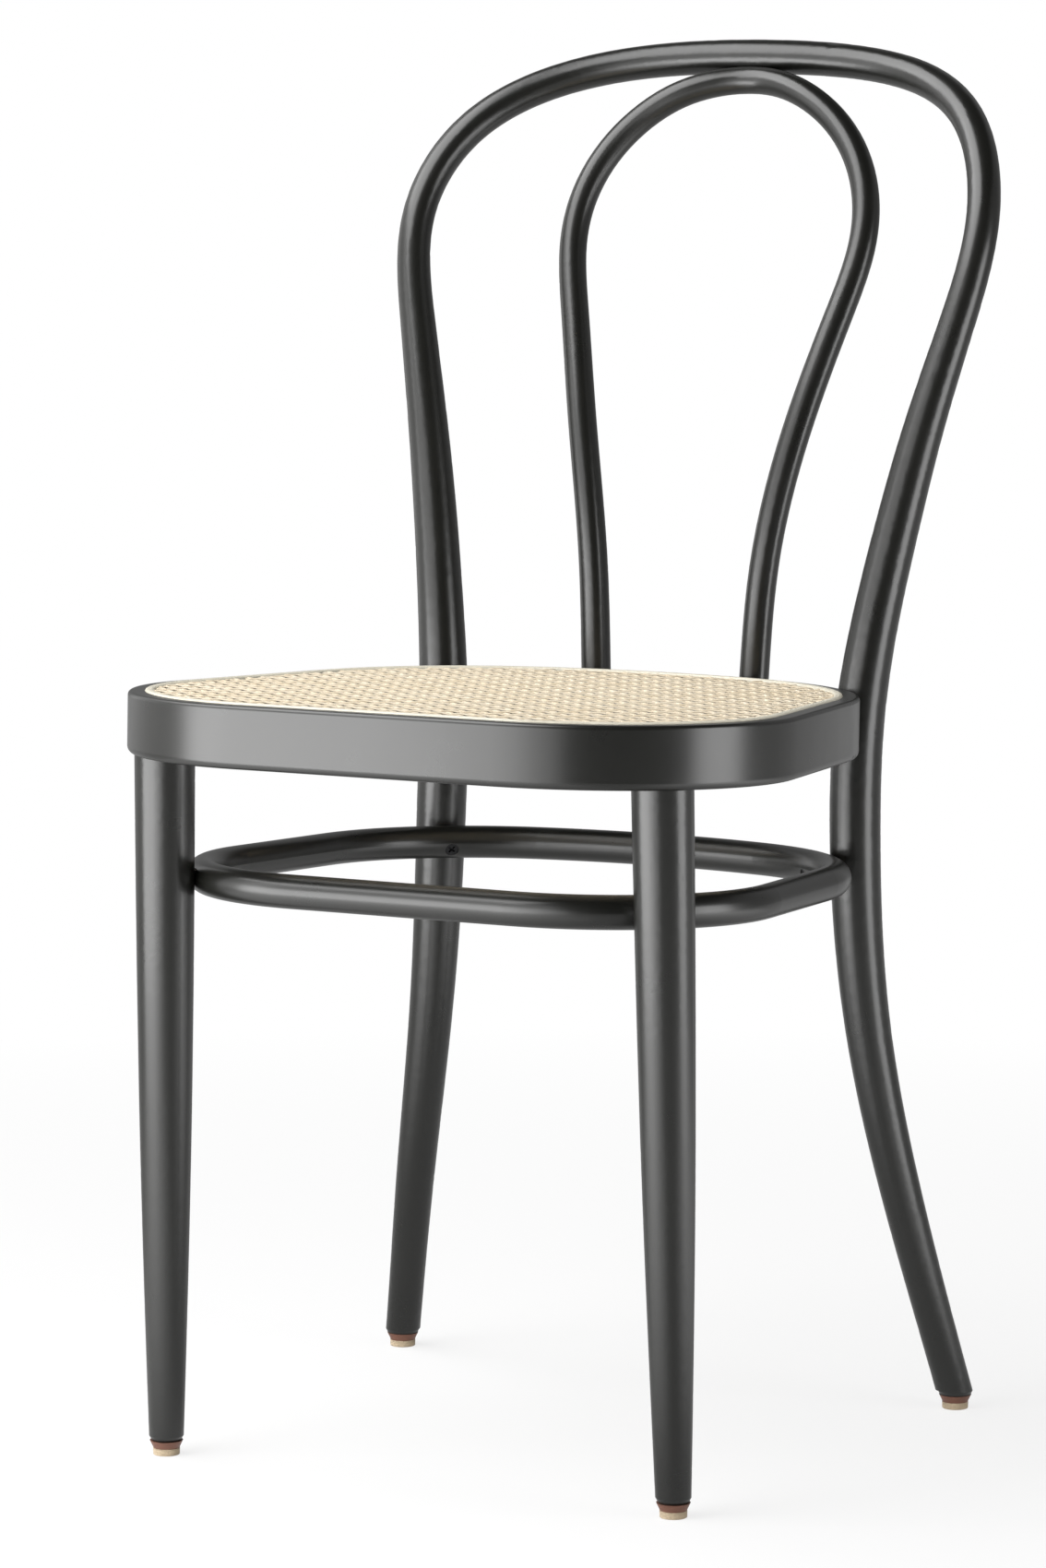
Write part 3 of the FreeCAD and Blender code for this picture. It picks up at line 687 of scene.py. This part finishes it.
def even_turns(rim, spread):
    """Along the rim: the angles about the middle, the turns of its normals and the same turns evened out.
    The rim is laid out three times over, so that the middle round has neighbours on both sides."""
    tick = 0.001                       # a step along the rim
    reach = 3.0                        # how far the evening looks to either side, in spreads
    whole = 2.0 * math.pi
    angles, points, turns = [], [], []
    for lap in (-1, 0, 1):
        for angle in sorted(rim):
            place, found = rim[angle]
            angles.append(angle + whole * lap)
            points.append(place)
            turns.append((min(found) + max(found)) / 2 + whole * lap)
    runs = numpy.cumsum([0.0] + [(last - first).length for first, last in zip(points, points[1:])])
    ticks = numpy.arange(0.0, runs[-1], tick)
    plain = numpy.interp(ticks, runs, turns)
    weights = numpy.exp(-0.5 * (numpy.arange(-reach, reach, tick / spread)) ** 2)
    even = numpy.convolve(plain, weights / weights.sum(), mode="same")
    return numpy.interp(ticks, runs, angles), plain, even


def ease_outline(name, spread, material):
    """A merged copy of the flat bent ring whose shading turns evenly round its corners, as steam-bent
    wood does. The shape stays as it is. Only the normals turn, by a few degrees, where one arc runs
    into the next."""
    facet_lag = math.radians(4.0)      # a normal this near to the outline's own is the outline's
    source = nodes[name].data
    to_plane = SEAT_PLANE.inverted()
    turn_in = to_plane.to_3x3()
    places = [to_plane @ vert.co for vert in source.vertices]
    normals = [turn_in @ corner.vector for corner in source.corner_normals]
    angles, plain, even = even_turns(rim_turns(source, places, normals), spread)
    axis = SEAT_PLANE.to_3x3() @ Vector((0.0, 0.0, 1.0))
    bm = bmesh.new()
    bm.from_mesh(source)
    kept = bm.loops.layers.float_vector.new("eased_normal")
    for face in bm.faces:
        for loop, index in zip(face.loops, source.polygons[face.index].loop_indices):
            place, normal = places[loop.vert.index], normals[index]
            angle = math.atan2(place.y, place.x)
            was, wanted = numpy.interp(angle, angles, plain), numpy.interp(angle, angles, even)
            lag = wrapped(math.atan2(normal.y, normal.x) - was)
            turn = wanted - was - (lag if abs(lag) < facet_lag else 0.0)
            loop[kept] = Matrix.Rotation(float(turn), 3, axis) @ source.corner_normals[index].vector
    bmesh.ops.remove_doubles(bm, verts=bm.verts, dist=CAD_MERGE)
    data = finish_mesh(bm, name + "_eased", material, [name]).data
    data.normals_split_custom_set([Vector(corner.vector) for corner in data.attributes["eased_normal"].data])
    data.attributes.remove(data.attributes["eased_normal"])


# Felt pads

def uneven_pad(pad):
    """A felt pad whose side sinks in a little, unevenly. Its two flat faces stay as they are."""
    sink = 0.00016                     # the middle of the unevenness, which goes as far either way
    coarse, fine = 900.0, 2300.0       # cells of the noise in a metre
    edge = 0.0008                      # from a flat face to where the side sinks in fully
    low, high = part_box(pad)
    bm = bmesh.new()
    bm.from_mesh(nodes[pad].data)
    bmesh.ops.remove_doubles(bm, verts=bm.verts, dist=CAD_MERGE)
    bmesh.ops.recalc_face_normals(bm, faces=bm.faces)
    bm.normal_update()
    moves = []
    for vert in bm.verts:
        swell = noise.noise(vert.co * coarse) + 0.5 * noise.noise(vert.co * fine)
        moves.append((vert, vert.normal * (-sink + sink * max(-1.0, min(1.0, swell)))))
    for vert, move in moves:
        inside = min(vert.co.z - low.z, high.z - vert.co.z)
        vert.co += move * min(1.0, inside / edge)
    return bm


# Operators

class BENTWOOD_OT_lacquer(Operator):
    """Gives the bent rods, the seat ring and the turned legs their satin lacquer"""

    bl_idname = "bentwood.lacquer"
    bl_label = "Lacquer the Wood"

    def execute(self, context):
        settings = context.scene.bentwood_lacquer
        dress(lacquer_finish(settings, "lacquer_upright", "Z"),
              "back_hoop", "inner_loop", "front_leg_left", "front_leg_right")
        rings = lacquer_finish(settings, "lacquer_ring", "Y", math.pi / 2)
        dress(rings, "leg_ring")
        ease_outline("seat_ring", spread=0.03, material=rings)
        return {"FINISHED"}


class BENTWOOD_OT_cane(Operator):
    """Weaves the cane seat: front to back pairs, side to side pairs and two diagonals"""

    bl_idname = "bentwood.cane"
    bl_label = "Weave the Seat"

    def execute(self, context):
        settings = context.scene.bentwood_cane
        pitch, half_gap = settings.pitch, settings.pair_gap / 2
        rise = settings.strand_height
        half_seat = 0.22               # a little more than half of the seat's width
        count = int(half_seat / pitch) + 1
        pairs = [(pitch * line + half_gap * hand, hand)
                 for line in range(-count, count + 1) for hand in (-1, 1)]
        diagonals = [(pitch * (line + 0.5) / math.sqrt(2), 0) for line in range(-2 * count, 2 * count)]

        def warp_lift(point, hand):
            return PAIR_LIFT * rise * hand * pair_wave(from_line(point.y, pitch), half_gap)

        def weft_lift(point, hand):
            return -PAIR_LIFT * rise * hand * pair_wave(from_line(point.x, pitch), half_gap)

        def rising_lift(point, _):
            return DIAGONAL_LIFT * rise * flat_wave(2 * math.pi * point.x / pitch)

        def falling_lift(point, _):
            return -DIAGONAL_LIFT * rise * flat_wave(2 * math.pi * point.x / pitch)

        quarter = math.pi / 4
        walls = reed_walls()
        warp = [(-distance, hand) for distance, hand in pairs]
        for name, angle, lines, width, lift in (
                ("cane_warp", 2 * quarter, warp, settings.strand_width, warp_lift),
                ("cane_weft", 0.0, pairs, settings.strand_width, weft_lift),
                ("cane_rising", quarter, diagonals, settings.diagonal_width, rising_lift),
                ("cane_falling", 3 * quarter, diagonals, settings.diagonal_width, falling_lift)):
            material = cane_finish(settings, name, 2 * quarter - angle)
            weave(settings, name, angle, lines, width, lift, walls, material)
        return {"FINISHED"}


class BENTWOOD_OT_trim(Operator):
    """Gives the reed, the screws, the washers, the nails and the dowel their finishes"""

    bl_idname = "bentwood.trim"
    bl_label = "Finish Reed and Metal"

    def execute(self, context):
        settings = context.scene.bentwood_trim
        dress(reed_finish(settings), "cane_reed")
        dress(beech_finish(settings), "crown_dowel")
        black = metal_finish("steel_black", settings.screw, gloss=0.38, metallic=0.6)
        dress(black, "leg_ring_screws", "hoop_screws", "loop_screws")
        zinc = metal_finish("steel_zinc", settings.zinc, gloss=0.3, metallic=1.0)
        dress(zinc, "hoop_washers", "glide_nails")
        return {"FINISHED"}


class BENTWOOD_OT_glides(Operator):
    """Gives the glides their brown plastic and the pads their pressed felt"""

    bl_idname = "bentwood.glides"
    bl_label = "Finish the Glides"

    def execute(self, context):
        settings = context.scene.bentwood_trim
        plastic, felt = glide_finish(settings), felt_finish(settings)
        for place in ("front", "rear"):
            for hand in ("left", "right"):
                dress(plastic, f"glide_cup_{place}_{hand}")
                pad = f"felt_pad_{place}_{hand}"
                finish_mesh(uneven_pad(pad), f"wool_{place}_{hand}", felt, [pad])
        return {"FINISHED"}


# Studio

def stand(right, near, height):
    """A place in the studio, counted to the right of the chair and towards the camera."""
    level, ahead = math.cos(CAMERA_TURN), math.sin(CAMERA_TURN)
    return (right * level + near * ahead, right * ahead - near * level, height)


def stand_left(turn, far, height):
    """A place in the studio at a distance from the chair, turned to the left of the camera."""
    return stand(-far * math.sin(turn), far * math.cos(turn), height)


def soft_lamp(name, place, aim_height, width, height, radiance):
    """An even rectangular lamp that faces the chair's middle line at a height. Its power follows from its
    size, so its brightness stays as set."""
    data = bpy.data.lights.new(name, "AREA")
    data.shape = "RECTANGLE"
    data.size, data.size_y = width, height
    data.energy = radiance * math.pi * width * height
    lamp = bpy.data.objects.new(name, data)
    lamp.visible_camera = False
    bpy.context.scene.collection.objects.link(lamp)
    place, aim = Vector(place), Vector((0.0, 0.0, aim_height))
    facing = (aim - place).to_track_quat("-Z", "Y").to_matrix().to_4x4()
    lamp.matrix_world = Matrix.Translation(place) @ facing


class BENTWOOD_OT_studio(Operator):
    """Sets up the pale floor, the white surroundings, the lamps and the camera"""

    bl_idname = "bentwood.studio"
    bl_label = "Set Up the Studio"

    def execute(self, context):
        settings = context.scene.bentwood_studio
        scene = context.scene
        self.make_floor(settings)
        self.make_world(scene, settings)
        self.make_lamps(settings)
        self.make_walls(settings)
        self.make_camera(scene, settings)
        scene.view_settings.view_transform = "Standard"
        return {"FINISHED"}

    def make_floor(self, settings):
        """A pale floor that keeps a share of the chair's shadow and is plain white further out."""
        half_side = 12.0
        shadow_near, shadow_far = 0.45, 1.5        # from the middle: between these the shadow fades out
        bm = bmesh.new()
        bmesh.ops.create_grid(bm, x_segments=8, y_segments=8, size=half_side)
        data = bpy.data.meshes.new("studio_floor")
        bm.to_mesh(data)
        bm.free()
        floor = add_object("studio_floor", data)
        material = bpy.data.materials.new("floor_white")
        tree, leave = empty_tree(material, "ShaderNodeOutputMaterial")
        paint = tree.nodes.new("ShaderNodeBsdfDiffuse")
        paint.inputs["Color"].default_value = (*settings.floor_colour, 1.0)
        glow = tree.nodes.new("ShaderNodeEmission")
        glow.inputs["Strength"].default_value = 1.0
        coords = tree.nodes.new("ShaderNodeTexCoord")
        away = tree.nodes.new("ShaderNodeVectorMath")
        away.operation = "LENGTH"
        tree.links.new(coords.outputs["Object"], away.inputs[0])
        white = remap(tree, away.outputs["Value"], shadow_near, shadow_far, 1.0 - settings.floor_shade, 1.0)
        share = maths(tree, "MULTIPLY", seen_rays(tree), white)
        above = mix_shaders(tree, share, paint.outputs[0], glow.outputs[0])
        # Seen from below, the floor is clear, so that the underside of the chair can be looked at.
        side = tree.nodes.new("ShaderNodeNewGeometry")
        clear = tree.nodes.new("ShaderNodeBsdfTransparent")
        both = mix_shaders(tree, side.outputs["Backfacing"], above, clear.outputs[0])
        tree.links.new(both, leave.inputs["Surface"])
        data.materials.append(material)

    def make_world(self, scene, settings):
        """White where it is seen, and a fainter white as light."""
        world = bpy.data.worlds.new("studio_white")
        scene.world = world
        tree, leave = empty_tree(world, "ShaderNodeOutputWorld")
        fill = tree.nodes.new("ShaderNodeBackground")
        white = tree.nodes.new("ShaderNodeBackground")
        for background, strength in ((fill, settings.fill), (white, 1.0)):
            background.inputs["Strength"].default_value = strength
            background.inputs["Color"].default_value = (1.0, 1.0, 1.0, 1.0)
        both = mix_shaders(tree, seen_rays(tree), fill.outputs[0], white.outputs[0])
        tree.links.new(both, leave.inputs["Surface"])

    def make_lamps(self, settings):
        """Lamps on the left, above, low and dimly in between, and one on the right. The three low ones
        overlap, so that their light grows from the camera round to the left."""
        soft_lamp("lamp_high", stand(-1.05, 0.1, 2.07), aim_height=0.75,
                  width=2.1, height=1.4, radiance=settings.high_lamp)
        low_lamps = (("lamp_low_wide", 15), ("lamp_low_middle", 28), ("lamp_low_core", 42))
        far, low, left_end = 1.25, 0.37, 84        # their distance and height, and where they all end
        for name, right_end in low_lamps:
            turn = math.radians((right_end + left_end) / 2)
            half = math.radians((left_end - right_end) / 2)
            soft_lamp(name, stand_left(turn, far, low), aim_height=low, width=2 * far * math.tan(half),
                      height=0.60, radiance=settings.low_lamp / len(low_lamps))
        middle = 1.02
        soft_lamp("lamp_between", stand_left(math.radians(55.0), 1.3, middle), aim_height=middle,
                  width=1.7, height=0.70, radiance=settings.between_lamp)
        side = 0.54
        soft_lamp("lamp_side", stand(1.32, 0.70, side), aim_height=side,
                  width=0.74, height=0.95, radiance=settings.side_lamp)

    def make_walls(self, settings):
        """Walls, a roof and a floor that only reflections see, so that they draw the edges of the rods. The
        front and the roof are dark, the right and the back are grey, and the left is pale."""
        radius, tall, gap = 5.0, 5.0, 0.002        # the drum stands just clear of the floor
        under, over = 0.01, 4.9                    # the middles of the wall's faces lie between these
        left_from, left_to, front_to = -150.0, -75.0, 50.0         # degrees to the right of the camera
        surfaces = (("wall_front", settings.wall_glow), ("wall_right", settings.right_glow),
                    ("wall_left", settings.left_glow), ("floor_seen", settings.floor_glow))
        right, left, floor = 1, 2, 3
        bm = bmesh.new()
        bmesh.ops.create_cone(bm, cap_ends=True, segments=64, radius1=radius, radius2=radius, depth=tall)
        bmesh.ops.translate(bm, verts=bm.verts, vec=(0.0, 0.0, tall / 2 + gap))
        bmesh.ops.reverse_faces(bm, faces=bm.faces)
        for face in bm.faces:
            middle = face.calc_center_median()
            off = math.degrees(wrapped(math.atan2(middle.x, -middle.y) - CAMERA_TURN))
            if middle.z < under:
                face.material_index = floor
            elif middle.z < over and left_from < off < left_to:
                face.material_index = left
            elif middle.z < over and not left_from < off < front_to:
                face.material_index = right
        data = bpy.data.meshes.new("studio_walls")
        bm.to_mesh(data)
        bm.free()
        walls = add_object("studio_walls", data)
        for name, radiance in surfaces:
            material = bpy.data.materials.new(name)
            tree, leave = empty_tree(material, "ShaderNodeOutputMaterial")
            glow = tree.nodes.new("ShaderNodeEmission")
            glow.inputs["Strength"].default_value = radiance
            if name == "floor_seen":
                # Painted pools of light in front of the two low lamps, on the floor that only reflections
                # see.
                left_pool = self.pool(tree, stand(-0.9, 0.65, 0.0), 2.4)
                right_pool = self.pool(tree, stand(1.15, 0.5, 0.0), 2.0)
                pools = maths(tree, "ADD", left_pool, right_pool)
                tree.links.new(maths(tree, "ADD", pools, radiance), glow.inputs["Strength"])
            tree.links.new(glow.outputs[0], leave.inputs["Surface"])
            data.materials.append(material)
        walls.visible_camera = False
        walls.visible_shadow = False
        walls.visible_diffuse = False
        walls.visible_transmission = False

    def pool(self, tree, place, strength):
        """A painted pool of light where a low lamp would light the floor in front of it, and how it fades.
        """
        near, far = 0.15, 0.95
        coords = tree.nodes.new("ShaderNodeTexCoord")
        away = tree.nodes.new("ShaderNodeVectorMath")
        away.operation = "DISTANCE"
        away.inputs[1].default_value = place
        tree.links.new(coords.outputs["Object"], away.inputs[0])
        return remap(tree, away.outputs["Value"], near, far, strength, 0.0)

    def make_camera(self, scene, settings):
        """The photo's camera, from its place, turn, dip and roll."""
        data = bpy.data.cameras.new("photo_camera")
        data.sensor_fit = "AUTO"
        data.sensor_width = 36.0
        data.lens = settings.camera_lens
        data.clip_start, data.clip_end = 0.1, 100.0
        camera = add_object("photo_camera", data)
        turn, dip, roll = settings.camera_turn, settings.camera_dip, CAMERA_ROLL
        forward = Vector((-math.sin(turn) * math.cos(dip), math.cos(turn) * math.cos(dip), -math.sin(dip)))
        level = Vector((math.cos(turn), math.sin(turn), 0.0))
        down = forward.cross(level)
        right = level * math.cos(roll) + down * math.sin(roll)
        up = level * math.sin(roll) - down * math.cos(roll)
        turned = Matrix((right, up, -forward)).transposed().to_4x4()
        camera.matrix_world = Matrix.Translation(settings.camera_place) @ turned
        scene.camera = camera


class BENTWOOD_PT_chair(Panel):
    """Lists the steps that dress the chair"""

    bl_label = "Bentwood Bistro Chair"
    bl_idname = "BENTWOOD_PT_chair"
    bl_space_type = "VIEW_3D"
    bl_region_type = "UI"
    bl_category = "Bistro Chair"

    def draw(self, context):
        layout = self.layout
        for step in STEPS:
            layout.operator(step.bl_idname)
        for name in SETTINGS:
            group = getattr(context.scene, name)
            box = layout.box()
            for title in group.__annotations__:
                box.prop(group, title)


SETTINGS = {
    "bentwood_lacquer": BentwoodLacquer,
    "bentwood_cane": BentwoodCane,
    "bentwood_trim": BentwoodTrim,
    "bentwood_studio": BentwoodStudio,
}
STEPS = (BENTWOOD_OT_lacquer, BENTWOOD_OT_cane, BENTWOOD_OT_trim, BENTWOOD_OT_glides, BENTWOOD_OT_studio)


def register():
    for kind in (*SETTINGS.values(), *STEPS, BENTWOOD_PT_chair):
        bpy.utils.register_class(kind)
    for name, kind in SETTINGS.items():
        setattr(bpy.types.Scene, name, PointerProperty(type=kind))


def unregister():
    for name in SETTINGS:
        delattr(bpy.types.Scene, name)
    for kind in (BENTWOOD_PT_chair, *STEPS, *SETTINGS.values()):
        bpy.utils.unregister_class(kind)


def main():
    """Registers the add-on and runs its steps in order."""
    register()
    bpy.ops.bentwood.lacquer()
    bpy.ops.bentwood.cane()
    bpy.ops.bentwood.trim()
    bpy.ops.bentwood.glides()
    bpy.ops.bentwood.studio()


if __name__ == "__main__":
    main()
